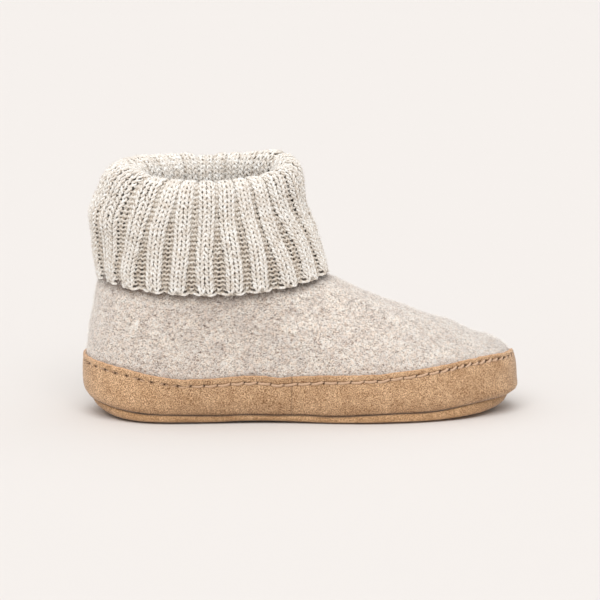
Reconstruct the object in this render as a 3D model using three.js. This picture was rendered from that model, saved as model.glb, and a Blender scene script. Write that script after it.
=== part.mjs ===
// An ankle slipper for the right foot: a felt upper, a rib-knit cuff folded down over its collar,
// a suede rand in two strips, an outsole and an insole.
// Millimetres. +X runs to the toe, +Y to the inner side of the foot, +Z up, the sole stands on Z = 0.
import * as THREE from 'three';

// Driving dimensions
const GAP = 0.3; // clearance where two pieces meet
const FELT_WALL = 3.6;
const INSOLE_THICKNESS = 4.5;
const INSOLE_GAP = 0.5; // room between the footbed and the outsole
const INSOLE_EASE = 0.8; // room between the footbed and the felt round it
const SOLE_THICKNESS = 5.6; // outsole, floor to groove
const TOE_SPRING = 4.5; // lift of the sole under the toe tip
const TOE_SPRING_START = 80; // station where the toe begins to lift
const HEEL_LIFT = 5; // rounding up of the sole at the back of the heel
const HEEL_LIFT_START = -104;
const ARCH_LIFT = 0.8; // hollow of the sole's underside at the waist
const ARCH_CENTRE = -22;
const ARCH_HALF_LENGTH = 34;
const SPRING_FADE_HEIGHT = 42; // height at which the upper no longer follows the sole's lift
const TOE_SWING = 4.3; // sideways curve of the last toward the inner side at the toe
const HEEL_SWING = -5.2; // and the other way at the heel
const TOE_TIP = 131;
const HEEL_TIP = -131;
const ARCH_TUCK = 7; // how much deeper the waist is on the inner side
const INNER_BALL_EXTRA = 2.5; // extra half width of the inner ball
const RAND_GAP = 0.8; // clearance between the rand's back and the felt
const RAND_LIFT = 0.9; // height of the rand's foot over the felt's edge
const RAND_SEAM = -5; // station of the rand's butt seams
const KNIT_WALL = 2.1;
const RIB_DEPTH = 0.55; // half the height from purl channel to knit rib
const RIB_COUNT = 22;
const RIB_PHASE = 0; // place of the first purl channel, in ribs from the front tip
const CUFF_CENTRE = -56.5; // station on each side that the ribs fan out from
const RIB_DRAW = 0.4; // how far the ribs of each side draw together from the hem up to the rim
const DRAW_ROUND = 0.23; // share of the round, on the outer side, that they draw towards
const DRAW_BEND = 0.3; // how much less they draw beside that place, and more half way to the ends
const CHANNEL_FLOOR = 0.36; // share of a purl channel's width from its middle to the foot of the next rib
const RIB_SHOULDER = 0.1; // share of a rib's width from the channel's edge to its full height
const HEEL_STATION = 0.2; // shares of a section's length, from the back
const WAIST_STATION = 0.42;
const BALL_STATION = 0.68;

// Mesh steps
const AROUND_UPPER = 68;
const AROUND_SOLE = 72;
const RAND_FRONT_STEPS = 46;
const RAND_REAR_STEPS = 38;
const PATH_STEPS = 160; // points of the fine path that each section is measured along

// A table with named columns, a row for each section or place.
function table(columns, rows) {
  const names = columns.split(' ');
  return rows.map((row) => Object.fromEntries(names.map((name, i) => [name, row[i]])));
}

// Sections of the last over the felt, from the feather edge up to the collar. Each is level.
// back and front are the stations of its ends. heel, waist and ball are half widths on the outer side.
// backRound and frontRound are the shares of its length over which the ends round off,
// fullness is the exponent of the front end: 2 is an ellipse, more is blunter.
const LAST_SECTIONS = table('z back front heel waist ball backRound frontRound fullness', [
  [5, -123.8, 123.8, 35.4, 34.9, 41.4, 0.2, 0.36, 2],
  [12, -128.1, 128.5, 37.8, 36.8, 43.4, 0.2, 0.36, 2.05],
  [20, -128.8, 128.8, 38.4, 37.0, 43.9, 0.2, 0.37, 2.05],
  [30, -128.9, 128.0, 38.8, 36.8, 43.2, 0.2, 0.39, 2.05],
  [37, -128.6, 125.2, 38.8, 36.6, 41.8, 0.2, 0.42, 2.05],
  [43, -128.2, 114.2, 38.8, 36.6, 40.0, 0.21, 0.45, 2.05],
  [54, -126.8, 89.0, 39.0, 37.0, 37.6, 0.24, 0.5, 2],
  [66, -124.6, 54.0, 39.6, 38.6, 37.6, 0.3, 0.54, 2],
  [78, -122.3, 27.0, 40.0, 39.8, 39.4, 0.36, 0.57, 2],
  [88, -120.2, 7.5, 39.2, 39.2, 39.2, 0.42, 0.54, 2.05],
  [100, -117.0, -1.0, 37.6, 37.6, 37.6, 0.48, 0.52, 2.1],
]);
const FEATHER_LEVEL = SOLE_THICKNESS + GAP;
const COLLAR_LEVEL = 100;
const RAND_FOOT_LEVEL = FEATHER_LEVEL + RAND_LIFT;
const UPPER_LEVELS = [FEATHER_LEVEL, 9, 13.5, 21, 29, 37, 45, 54, 63, 72, 81, 90, COLLAR_LEVEL];

// Upper edge of the rand along the shoe.
const RAND_TOP = table('x z', [
  [-131, 36.8],
  [-109, 34.6],
  [-84, 30.0],
  [-66, 28.2],
  [-20, 29.0],
  [22, 29.7],
  [60, 31.4],
  [90, 33.2],
  [112, 35.4],
  [131, 36.6],
]);
// Section of the rand: share of its height, and how far its face stands off the felt.
const RAND_PROFILE = table('share off', [
  [0, 1.5],
  [0.12, 2.3],
  [0.4, 2.7],
  [0.66, 2.6],
  [0.84, 2.5],
  [0.96, 2.5],
  [1, 2.2],
  [1, RAND_GAP],
  [0.9, RAND_GAP],
  [0.78, RAND_GAP],
  [0.58, RAND_GAP],
  [0.3, RAND_GAP],
  [0.1, RAND_GAP],
  [0, RAND_GAP],
]);

// Edge of the outsole: height as a share of its thickness, and how far it stands off the felt's foot.
const SOLE_EDGE = table('share off', [
  [0, -1.4],
  [0.1, 1.0],
  [0.32, 2.3],
  [0.65, 2.7],
  [0.9, 2.4],
  [1, 1.7],
]);
const SOLE_LEVEL = 7; // level of the last that the outsole's outline follows
const END_TUCK = 2; // how much further in the outsole is at the tips of toe and heel
const END_TUCK_START = 92; // station, either way, where that begins

// Edge of the insole: share of its thickness, and how far it draws in.
const INSOLE_EDGE = table('share off', [
  [0, 0],
  [0.75, 0],
  [1, -1],
]);

// Sections of the cuff through the middle of its knit, from the seam on the collar, over the rim,
// down to the hem. The four z are its heights at the back, the front, the outer and the inner side.
// channel is the share of each rib's width that the purl channel takes.
const CUFF_SECTIONS = table('zBack zFront zOuter zInner back front side channel', [
  [101.4, 101.4, 101.4, 101.4, -115.2, -2.8, 35.8, 0.16],
  [113, 113, 112, 113, -109.0, -7.0, 33.6, 0.14],
  [126, 127, 124, 126, -101.5, -10.8, 31.2, 0.12],
  [139.6, 140, 135.4, 140.6, -98.3, -12.8, 30.4, 0.12],
  [146.8, 147, 142.2, 147.4, -100.8, -11.2, 32.2, 0.12],
  [150.4, 150.4, 145.8, 151, -107.5, -7.2, 36.3, 0.12],
  [148, 148, 143.4, 148.6, -114.8, -3.2, 40.4, 0.14],
  [140.6, 141, 136.4, 141, -121.2, -0.6, 43.2, 0.18],
  [125, 126, 122.4, 125, -126.2, 2.6, 44.9, 0.26],
  [112, 113.4, 108.8, 111, -124.2, 7.8, 45.6, 0.33],
  [98, 99.8, 94.4, 96.5, -123.2, 12.5, 45.9, 0.38],
  [84.5, 86.2, 80, 82, -122.9, 16.0, 46.0, 0.42],
]);
const CUFF_SHAPE = { backRound: 0.49, frontRound: 0.51, fullness: 2.1 };

const COLOURS = {
  felt: { color: 0xd6c9bd, roughness: 0.95, metalness: 0 },
  knit: { color: 0xd8cfc2, roughness: 0.95, metalness: 0 },
  suede: { color: 0xc19a74, roughness: 0.9, metalness: 0 },
  sole: { color: 0xb08a66, roughness: 0.9, metalness: 0 },
  footbed: { color: 0xcfc3b6, roughness: 0.95, metalness: 0 },
};

const mix = THREE.MathUtils.lerp;

// Smooth value of every column of a table at a place between its rows.
function between(rows, column, place) {
  const last = rows.length - 1;
  const at = THREE.MathUtils.clamp(place, rows[0][column], rows[last][column]);
  let i = 0;
  while (i < last - 1 && rows[i + 1][column] < at) i += 1;
  const [low, high] = [rows[i], rows[i + 1]];
  const before = rows[Math.max(i - 1, 0)];
  const after = rows[Math.min(i + 2, last)];
  const step = high[column] - low[column];
  const s = (at - low[column]) / step;
  const found = {};
  for (const name of Object.keys(low)) {
    const slopeLow = ((high[name] - before[name]) / (high[column] - before[column])) * step;
    const slopeHigh = ((after[name] - low[name]) / (after[column] - low[column])) * step;
    found[name] =
      low[name] * (2 * s ** 3 - 3 * s ** 2 + 1) +
      slopeLow * (s ** 3 - 2 * s ** 2 + s) +
      high[name] * (3 * s ** 2 - 2 * s ** 3) +
      slopeHigh * (s ** 3 - s ** 2);
  }
  return found;
}

// Sideways place of the last's middle line.
function middle(x) {
  const along = THREE.MathUtils.smoothstep(x, HEEL_TIP, TOE_TIP);
  return mix(HEEL_SWING, TOE_SWING, along);
}

// Lift of the sole at the toe and at the back of the heel.
function spring(x) {
  const toe = Math.max(0, (x - TOE_SPRING_START) / (TOE_TIP - TOE_SPRING_START));
  const heel = Math.max(0, (HEEL_LIFT_START - x) / (HEEL_LIFT_START - HEEL_TIP));
  return TOE_SPRING * toe ** 2 + HEEL_LIFT * heel ** 2;
}

// Rounding of a section's ends: 0 at its tips, 1 along its middle.
function endRound(share, shape) {
  const { backRound, frontRound, fullness } = shape;
  if (share < backRound) return Math.sqrt(Math.max(0, 1 - (1 - share / backRound) ** 2));
  const ahead = (share - 1 + frontRound) / frontRound;
  if (ahead <= 0) return 1;
  return Math.max(0, 1 - ahead ** fullness) ** (1 / fullness);
}

// Half width of a level section of the last, share of its length from the back, on one side.
function halfWidth(section, share, inner) {
  const low = 1 - THREE.MathUtils.smoothstep(section.z, SOLE_THICKNESS, COLLAR_LEVEL);
  const tuck = inner ? ARCH_TUCK * low : 0;
  const extra = inner ? INNER_BALL_EXTRA * low : 0;
  const stations = [
    { share: 0, half: section.heel },
    { share: HEEL_STATION, half: section.heel },
    { share: WAIST_STATION, half: section.waist - tuck },
    { share: BALL_STATION, half: section.ball + extra },
    { share: 1, half: section.ball + extra },
  ];
  return between(stations, 'share', share).half * endRound(share, section);
}

// Length that a path has come where it crosses a station.
function lengthAt(points, lengths, station) {
  const i = points.findIndex((p, k) => k > 0 && (p.x - station) * (points[k - 1].x - station) <= 0);
  return THREE.MathUtils.mapLinear(station, points[i - 1].x, points[i].x, lengths[i - 1], lengths[i]);
}

// A section as a path from its front tip round the outer side to the back and home along the inner side,
// with the share of the whole round that each point has come. Each half is a half of the round, and each
// quarter of it ends half way along that side, or at the station that quarter names.
function sectionPath(front, back, width, height, quarter = null) {
  const path = [];
  for (const inner of [false, true]) {
    const half = [];
    for (let i = 0; i <= PATH_STEPS; i += 1) {
      const turn = (Math.PI * i) / PATH_STEPS;
      const share = (1 + (inner ? -1 : 1) * Math.cos(turn)) / 2;
      const x = mix(back, front, share);
      const y = middle(x) + (inner ? 1 : -1) * width(share, inner);
      half.push(new THREE.Vector3(x, y, height(x, share, inner)));
    }
    let length = 0;
    const lengths = half.map((p, i) => (length += i ? p.distanceTo(half[i - 1]) : 0));
    const turned = quarter === null ? length / 2 : lengthAt(half, lengths, quarter);
    half.forEach((point, i) => {
      const come = lengths[i];
      const quarters = come < turned ? come / turned : 1 + (come - turned) / (length - turned);
      path.push({ round: (inner ? 0.5 : 0) + quarters / 4, point });
    });
  }
  return path;
}

// Point of a path at a share of its round.
function onPath(path, round) {
  const at = round - Math.floor(round);
  let low = 0;
  let high = path.length - 1;
  while (high - low > 1) {
    const centre = (low + high) >> 1;
    if (path[centre].round <= at) low = centre;
    else high = centre;
  }
  const [a, b] = [path[low], path[high]];
  const span = b.round - a.round;
  return a.point.clone().lerp(b.point, span > 0 ? (at - a.round) / span : 0);
}

const ROUND_STEP = 0.004; // steps round and up over which slopes are measured
const LEVEL_STEP = 1;

// Direction of a path there.
function alongPath(path, round) {
  return onPath(path, round + ROUND_STEP).sub(onPath(path, round - ROUND_STEP));
}

const lastPaths = new Map();

// Level section of the last, lifted at toe and heel with the sole.
function lastPath(level) {
  if (!lastPaths.has(level)) {
    const section = between(LAST_SECTIONS, 'z', level);
    const follow = 1 - THREE.MathUtils.smoothstep(level, FEATHER_LEVEL, SPRING_FADE_HEIGHT);
    const width = (share, inner) => halfWidth(section, share, inner);
    const height = (x) => level + spring(x) * follow;
    lastPaths.set(level, sectionPath(section.front, section.back, width, height));
  }
  return lastPaths.get(level);
}

// Point on the felt's outer face, moved out along the surface by off.
function lastPoint(level, round, off = 0) {
  const low = Math.max(level - LEVEL_STEP, LAST_SECTIONS[0].z);
  const high = Math.min(level + LEVEL_STEP, COLLAR_LEVEL);
  const point = onPath(lastPath(level), round);
  const around = alongPath(lastPath(level), round);
  const up = onPath(lastPath(high), round).sub(onPath(lastPath(low), round));
  const outward = up.cross(around).normalize();
  return point.addScaledVector(outward, off);
}

// The same, moved out level.
function lastPointLevel(level, round, off) {
  const point = onPath(lastPath(level), round);
  const around = alongPath(lastPath(level), round);
  const outward = new THREE.Vector3(-around.y, around.x, 0).normalize();
  return point.addScaledVector(outward, off);
}

const HALVINGS = 40; // of the stretch that a crossing is looked for in

// Where a level of the last crosses a station, on one side, as a share of its round.
function roundAt(level, station, inner) {
  let low = inner ? 0.5 : 0;
  let high = inner ? 1 : 0.5;
  for (let i = 0; i < HALVINGS; i += 1) {
    const centre = (low + high) / 2;
    const ahead = onPath(lastPath(level), centre).x > station;
    if (ahead === inner) high = centre;
    else low = centre;
  }
  return (low + high) / 2;
}

// A closed solid from a grid of points: rows joined to the next, each row closed round.
// ends 'loop' joins the last row to the first, ends 'cap' closes both with a ladder across.
function solid(rows, ends) {
  const across = rows[0].length;
  const positions = rows.flat().flatMap((p) => [p.x, p.y, p.z]);
  const faces = [];
  const quad = (a, b, c, d) => faces.push(a, b, c, a, c, d);
  const bands = ends === 'loop' ? rows.length : rows.length - 1;
  for (let r = 0; r < bands; r += 1) {
    const next = (r + 1) % rows.length;
    for (let i = 0; i < across; i += 1) {
      const j = (i + 1) % across;
      quad(r * across + i, r * across + j, next * across + j, next * across + i);
    }
  }
  if (ends === 'cap') {
    const top = (rows.length - 1) * across;
    for (let i = 0; i < across / 2 - 1; i += 1) {
      const [a, b, c, d] = [i, i + 1, across - 2 - i, across - 1 - i];
      quad(d, c, b, a);
      quad(top + a, top + b, top + c, top + d);
    }
  }
  const geometry = new THREE.BufferGeometry();
  geometry.setAttribute('position', new THREE.Float32BufferAttribute(positions, 3));
  geometry.setIndex(faces);
  geometry.computeVertexNormals();
  return geometry;
}

// The same geometry with its faces pointing out.
function turnedOut(geometry) {
  const p = geometry.getAttribute('position');
  const index = geometry.getIndex();
  const [a, b, c] = [new THREE.Vector3(), new THREE.Vector3(), new THREE.Vector3()];
  let volume = 0;
  for (let i = 0; i < index.count; i += 3) {
    a.fromBufferAttribute(p, index.getX(i));
    b.fromBufferAttribute(p, index.getX(i + 1));
    c.fromBufferAttribute(p, index.getX(i + 2));
    volume += a.dot(b.cross(c));
  }
  if (volume < 0) {
    geometry.setIndex(Array.from(index.array).reverse());
    geometry.computeVertexNormals();
  }
  return geometry;
}

const slipper = new THREE.Group();
slipper.name = 'slipper';

function add(name, geometry, colour) {
  const mesh = new THREE.Mesh(turnedOut(geometry), new THREE.MeshStandardMaterial(COLOURS[colour]));
  mesh.name = name;
  slipper.add(mesh);
}

const counted = (count, each) => Array.from({ length: count }, (_, i) => each(i));
const roundUpper = (level, off) => counted(AROUND_UPPER, (i) => lastPoint(level, i / AROUND_UPPER, off));

// The felt shell: up its outer face and down its inner face.
function upper() {
  const outside = UPPER_LEVELS.map((level) => roundUpper(level, 0));
  const inside = UPPER_LEVELS.map((level) => roundUpper(level, -FELT_WALL)).reverse();
  inside[0].forEach((p) => (p.z = COLLAR_LEVEL));
  inside[inside.length - 1].forEach((p, i) => (p.z = outside[0][i].z));
  return solid([...outside, ...inside], 'loop');
}

// One strip of the rand between its two seams, the front one round the toe or the rear one round the heel.
function rand(front) {
  const steps = front ? RAND_FRONT_STEPS : RAND_REAR_STEPS;
  const seam = RAND_SEAM + (front ? GAP : -GAP) / 2;
  const rows = counted(steps + 1, (i) =>
    RAND_PROFILE.map(({ share, off }) => {
      const middleLevel = mix(RAND_FOOT_LEVEL, between(RAND_TOP, 'x', seam).z, share);
      const outerSeam = roundAt(middleLevel, seam, false);
      const innerSeam = roundAt(middleLevel, seam, true);
      const from = front ? innerSeam - 1 : outerSeam;
      const to = front ? outerSeam : innerSeam;
      const round = mix(from, to, i / steps);
      const station = onPath(lastPath(middleLevel), round).x;
      const level = mix(RAND_FOOT_LEVEL, between(RAND_TOP, 'x', station).z, share);
      return lastPoint(level, round, off);
    }),
  );
  return solid(rows, 'cap');
}

// The outsole: its rolled edge from the floor up to the groove, flat top and bottom.
function outsole() {
  const rows = SOLE_EDGE.map(({ share, off }) =>
    counted(AROUND_SOLE, (i) => {
      const round = i / AROUND_SOLE;
      const along = Math.abs(lastPointLevel(SOLE_LEVEL, round, 0).x);
      const tuck = END_TUCK * THREE.MathUtils.smoothstep(along, END_TUCK_START, TOE_TIP);
      const point = lastPointLevel(SOLE_LEVEL, round, off - tuck);
      const hollow = Math.max(0, 1 - ((point.x - ARCH_CENTRE) / ARCH_HALF_LENGTH) ** 2);
      const floor = spring(point.x) + ARCH_LIFT * hollow ** 2;
      point.z = mix(floor, spring(point.x) + SOLE_THICKNESS, share);
      return point;
    }),
  );
  return solid(rows, 'cap');
}

// The footbed inside the felt, its top edge broken.
function insole() {
  const rows = INSOLE_EDGE.map(({ share, off }) =>
    counted(AROUND_SOLE, (i) => {
      const point = lastPointLevel(SOLE_LEVEL, i / AROUND_SOLE, off - FELT_WALL - INSOLE_EASE);
      point.z = spring(point.x) + SOLE_THICKNESS + INSOLE_GAP + INSOLE_THICKNESS * share;
      return point;
    }),
  );
  return solid(rows, 'cap');
}

// Places across one rib, as shares of its width from the middle of a purl channel, and their height.
function ribPlaces(channel) {
  const foot = channel * CHANNEL_FLOOR;
  const shoulder = channel / 2 + RIB_SHOULDER;
  return [
    { share: foot, rise: -RIB_DEPTH },
    { share: shoulder, rise: RIB_DEPTH },
    { share: 1 - shoulder, rise: RIB_DEPTH },
    { share: 1 - foot, rise: -RIB_DEPTH },
  ];
}

// Share of the round where a rib stands once it is drawn towards the middle of its side.
function drawnRound(round, draw) {
  const swing = 4 * Math.PI * (round - DRAW_ROUND);
  return round - (draw * (Math.sin(swing) - DRAW_BEND * Math.sin(2 * swing))) / (4 * Math.PI);
}

// How far the ribs are drawn together at a section of the cuff: fully inside and at the rim, less and
// less down to the hem.
function drawAt(k) {
  const heights = CUFF_SECTIONS.map(({ zOuter }) => zOuter);
  const rim = Math.max(...heights);
  const hem = heights[heights.length - 1];
  const folded = heights.indexOf(rim) < k;
  return folded ? RIB_DRAW * THREE.MathUtils.smoothstep(heights[k], hem, rim) : RIB_DRAW;
}

// The cuff: one ribbed wall from the collar seam over the rim to the hem along its show face,
// and home along the face inside the fold.
function cuff() {
  const paths = CUFF_SECTIONS.map(({ back, front, side, zBack, zFront, zOuter, zInner }) => {
    const width = (share) => side * endRound(share, CUFF_SHAPE);
    const height = (x, share, inner) => {
      const beside = 4 * share * (1 - share);
      return mix(mix(zBack, zFront, share), inner ? zInner : zOuter, beside);
    };
    return sectionPath(front, back, width, height, CUFF_CENTRE);
  });
  const draws = CUFF_SECTIONS.map((_, k) => drawAt(k));
  const onRib = (k, round) => onPath(paths[k], drawnRound(round, draws[k]));
  const face = (off) =>
    CUFF_SECTIONS.map(({ channel }, k) =>
      counted(RIB_COUNT, (rib) =>
        ribPlaces(channel).map(({ share, rise }) => {
          const round = (rib + RIB_PHASE + share) / RIB_COUNT;
          const before = onRib(Math.max(k - 1, 0), round);
          const after = onRib(Math.min(k + 1, paths.length - 1), round);
          const around = alongPath(paths[k], drawnRound(round, draws[k]));
          const intoFold = after.sub(before).cross(around).normalize();
          return onRib(k, round).addScaledVector(intoFold, off - rise);
        }),
      ).flat(),
    );
  return solid([...face(-KNIT_WALL / 2), ...face(KNIT_WALL / 2).reverse()], 'loop');
}

add('outsole', outsole(), 'sole');
add('insole', insole(), 'footbed');
add('upper', upper(), 'felt');
add('rand_front', rand(true), 'suede');
add('rand_rear', rand(false), 'suede');
add('cuff', cuff(), 'knit');

export default slipper;
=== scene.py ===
# Looks of an ankle slipper for the right foot: a boiled-wool felt upper, a rib-knit cuff worked stitch
# by stitch and folded down, a top-stitched suede rand and a suede sole.
# +X runs to the toe, +Y to the inner side of the foot, +Z up, and the sole stands on Z = 0.
import math

import bpy
import numpy as np
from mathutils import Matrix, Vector, noise


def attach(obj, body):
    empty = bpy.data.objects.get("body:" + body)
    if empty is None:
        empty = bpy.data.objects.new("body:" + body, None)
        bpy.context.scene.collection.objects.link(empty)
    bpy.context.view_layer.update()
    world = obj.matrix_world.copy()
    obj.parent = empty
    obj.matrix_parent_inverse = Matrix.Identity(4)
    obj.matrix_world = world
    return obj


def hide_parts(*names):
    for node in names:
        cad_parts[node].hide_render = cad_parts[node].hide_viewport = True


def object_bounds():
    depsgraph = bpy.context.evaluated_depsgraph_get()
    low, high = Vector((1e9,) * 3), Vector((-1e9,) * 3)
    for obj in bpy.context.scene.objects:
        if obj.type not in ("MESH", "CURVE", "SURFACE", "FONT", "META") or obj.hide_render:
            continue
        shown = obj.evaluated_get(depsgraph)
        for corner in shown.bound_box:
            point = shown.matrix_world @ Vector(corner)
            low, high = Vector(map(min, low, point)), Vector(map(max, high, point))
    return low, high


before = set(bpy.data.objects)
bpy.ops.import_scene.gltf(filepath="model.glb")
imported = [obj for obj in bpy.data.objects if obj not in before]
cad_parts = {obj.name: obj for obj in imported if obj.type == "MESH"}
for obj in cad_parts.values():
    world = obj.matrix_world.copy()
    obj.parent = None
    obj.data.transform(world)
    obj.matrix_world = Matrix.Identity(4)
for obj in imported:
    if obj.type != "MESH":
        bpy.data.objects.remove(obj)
cad_low, cad_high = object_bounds()

# Sizes below are millimetres of the slipper as built, and the frame's length gives their scale in metres.
# A pair called REACH says where a change begins and where it is full.
BUILT_LENGTH = 263.05
UNIT = (cad_high.x - cad_low.x) / BUILT_LENGTH

# Sizes of the pieces
GAP = 0.3
FELT_WALL = 3.6
SOLE_THICKNESS = 5.6
INSOLE_THICKNESS = 4.5
INSOLE_GAP = 0.5
INSOLE_EASE = 0.8
TOE_TIP = 131
HEEL_TIP = -131
TOE_SPRING = 4.5
TOE_SPRING_START = 80
HEEL_LIFT = 5
HEEL_LIFT_START = -104
SPRING_FADE_HEIGHT = 42
ARCH_LIFT = 0.8
ARCH_CENTRE = -22
ARCH_HALF_LENGTH = 34
TOE_SWING = 4.3
HEEL_SWING = -5.2
ARCH_TUCK = 7
INNER_BALL_EXTRA = 2.5
HEEL_STATION = 0.2
WAIST_STATION = 0.42
BALL_STATION = 0.68
FEATHER_LEVEL = SOLE_THICKNESS + GAP
COLLAR_LEVEL = 100
LAST_BELOW = 2.5  # how far the last's sections run on below the felt, for the rand's foot
RIB_COUNT = 22
RIB_DRAW = 0.4  # how far the ribs of each side draw together from the hem up to the rim
DRAW_ROUND = 0.23  # share of the round, on the outer side, that they draw towards
DRAW_BEND = 0.3  # how much less they draw beside that place, and more half way to the ends

# A turn in radians that spreads what repeats, so that neighbours differ
GOLDEN_TURN = 2.4

# Fineness of the surfaces
PATH_STEPS = 200
ROUNDS = 720
LEVEL_STEPS = 200


def table(columns, rows):
    """A table with named columns, as one array for each."""
    return dict(zip(columns.split(), np.array(rows, float).T))


# Level sections of the last over the felt, from the feather edge up to the collar.
# back and front are the stations of the ends; heel, waist and ball are half widths on the outer side.
LAST_SECTIONS = table("z back front heel waist ball back_round front_round fullness", [
    (5, -123.8, 123.8, 35.4, 34.9, 41.4, 0.2, 0.36, 2),
    (12, -128.1, 128.5, 37.8, 36.8, 43.4, 0.2, 0.36, 2.05),
    (20, -128.8, 128.8, 38.4, 37.0, 43.9, 0.2, 0.37, 2.05),
    (30, -128.9, 128.0, 38.8, 36.8, 43.2, 0.2, 0.39, 2.05),
    (37, -128.6, 125.2, 38.8, 36.6, 41.8, 0.2, 0.42, 2.05),
    (43, -128.2, 114.2, 38.8, 36.6, 40.0, 0.21, 0.45, 2.05),
    (54, -126.8, 89.0, 39.0, 37.0, 37.6, 0.24, 0.5, 2),
    (66, -124.6, 54.0, 39.6, 38.6, 37.6, 0.3, 0.54, 2),
    (78, -122.3, 27.0, 40.0, 39.8, 39.4, 0.36, 0.57, 2),
    (88, -120.2, 7.5, 39.2, 39.2, 39.2, 0.42, 0.54, 2.05),
    (100, -117.0, -1.0, 37.6, 37.6, 37.6, 0.48, 0.52, 2.1),
])

# Sections of the cuff through the middle of its knit, from the hem up over the rim and down inside to
# the collar seam. The four z are its heights at the back, the front, the outer and the inner side.
# channel is the share of each rib's width that the purl channel takes.
CUFF_SECTIONS = table("z_back z_front z_outer z_inner back front side channel", [
    (84.5, 86.2, 80, 82, -122.9, 16.0, 46.0, 0.42),
    (98, 99.8, 94.4, 96.5, -123.2, 12.5, 45.9, 0.38),
    (112, 113.4, 108.8, 111, -124.2, 7.8, 45.6, 0.33),
    (125, 126, 122.4, 125, -126.2, 2.6, 44.9, 0.26),
    (140.6, 141, 136.4, 141, -121.2, -0.6, 43.2, 0.18),
    (148, 148, 143.4, 148.6, -114.8, -3.2, 40.4, 0.14),
    (150.4, 150.4, 145.8, 151, -107.5, -7.2, 36.3, 0.12),
    (146.8, 147, 142.2, 147.4, -100.8, -11.2, 32.2, 0.12),
    (139.6, 140, 135.4, 140.6, -98.3, -12.8, 30.4, 0.12),
    (126, 127, 124, 126, -101.5, -10.8, 31.2, 0.12),
    (113, 113, 112, 113, -109.0, -7.0, 33.6, 0.14),
    (101.4, 101.4, 101.4, 101.4, -115.2, -2.8, 35.8, 0.16),
])
RIM_ROW = 6
CUFF_CENTRE = -56.5  # station about which the ribs fan out
CUFF_SHAPE = {"back_round": 0.49, "front_round": 0.51, "fullness": 2.1}

# Soft dents and swells of the cuff's rim and of the felt: centre, reach each way, and height.
CUFF_SWELLS = (
    (-14, 18, 150, 15, 24, 12, 4.5),
    (-57, 33, 150, 9, 14, 10, -2.2),
    (-121, -10, 138, 9, 26, 10, -3.0),
    (-98, -4, 141, 10, 24, 10, 4.0),
)
FELT_SWELLS = (
    (60, 4, 66, 9, 34, 16, 0.7),
    (76, 4, 59, 8, 34, 14, -0.8),
    (90, 4, 53, 8, 34, 12, 0.6),
    (104, 4, 46, 7, 34, 9, -0.7),
    (28, -40, 66, 14, 20, 10, -0.9),
    (8, -42, 50, 30, 20, 12, 0.7),
    (-46, -44, 60, 34, 20, 13, -0.8),
    (-96, -40, 52, 20, 22, 16, 0.6),
    (-84, -44, 80, 8, 20, 8, -1.2),
    (116, 10, 42, 12, 26, 7, 1.6),
)
# Random lumps: height, length and seed.
CUFF_LUMPS = (1.3, 20, 5)
FELT_LUMPS = ((0.35, 13, 1), (0.14, 4.5, 2))
SUEDE_LUMPS = (0.12, 6, 4)
RAND_FRAY = (0.35, 4, 6)  # of the rand's ragged upper edge
SEED_STEPS = (17.3, 5.1, 9.7)  # how far apart in the noise the seeds lie
HEM_TUCK = 1.8  # how far the cuff's hem is drawn in towards the felt
HEM_TUCK_HEIGHT = 10
HEM_TUCK_END = (-20, 10)  # stations between which that runs out towards the front


def smoothstep(value, low, high):
    share = np.clip((value - low) / (high - low), 0, 1)
    return share * share * (3 - 2 * share)


def hump(value, centre, reach):
    """A smooth hump of height 1, that fades over reach."""
    return np.exp(-(((value - centre) / reach) ** 2))


def unit(vectors):
    """Directions of vectors."""
    return vectors / np.linalg.norm(vectors, axis=-1, keepdims=True)


def run_along(points):
    """Way along a line of points up to each of them."""
    return np.concatenate([[0], np.cumsum(np.linalg.norm(np.diff(points, axis=0), axis=1))])


def between(rows, column, place):
    """Smooth values of every column of a table at places between its rows."""
    keys = rows[column]
    last_row = len(keys) - 1
    at = np.clip(place, keys[0], keys[-1])
    i = np.clip(np.searchsorted(keys, at) - 1, 0, last_row - 1)
    before = np.maximum(i - 1, 0)
    after = np.minimum(i + 2, last_row)
    step = keys[i + 1] - keys[i]
    s = (at - keys[i]) / step
    found = {}
    for name, values in rows.items():
        low, high = values[i], values[i + 1]
        slope_low = (high - values[before]) / (keys[i + 1] - keys[before]) * step
        slope_high = (values[after] - low) / (keys[after] - keys[i]) * step
        found[name] = (
            low * (2 * s**3 - 3 * s**2 + 1)
            + slope_low * (s**3 - 2 * s**2 + s)
            + high * (3 * s**2 - 2 * s**3)
            + slope_high * (s**3 - s**2)
        )
    return found


def middle(x):
    """Sideways place of the last's middle line."""
    return HEEL_SWING + (TOE_SWING - HEEL_SWING) * smoothstep(x, HEEL_TIP, TOE_TIP)


def spring(x):
    """Lift of the sole at the toe and at the back of the heel."""
    toe = np.maximum(0, (x - TOE_SPRING_START) / (TOE_TIP - TOE_SPRING_START))
    heel = np.maximum(0, (HEEL_LIFT_START - x) / (HEEL_LIFT_START - HEEL_TIP))
    return TOE_SPRING * toe**2 + HEEL_LIFT * heel**2


def end_round(share, shape):
    """Rounding of a section's ends: 0 at its tips, 1 along its middle."""
    behind = np.clip(1 - share / shape["back_round"], 0, 1)
    ahead = np.clip((share - 1 + shape["front_round"]) / shape["front_round"], 0, 1)
    fullness = shape["fullness"]
    return np.sqrt(1 - behind**2) * (1 - ahead**fullness) ** (1 / fullness)


def last_half_width(section, share, inner):
    low = 1 - smoothstep(section["z"], SOLE_THICKNESS, COLLAR_LEVEL)
    waist = section["waist"] - (ARCH_TUCK * low if inner else 0)
    ball = section["ball"] + (INNER_BALL_EXTRA * low if inner else 0)
    heel = section["heel"]
    stations = table("share half", [
        (0, heel), (HEEL_STATION, heel), (WAIST_STATION, waist), (BALL_STATION, ball), (1, ball),
    ])
    return between(stations, "share", share)["half"] * end_round(share, section)


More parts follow.
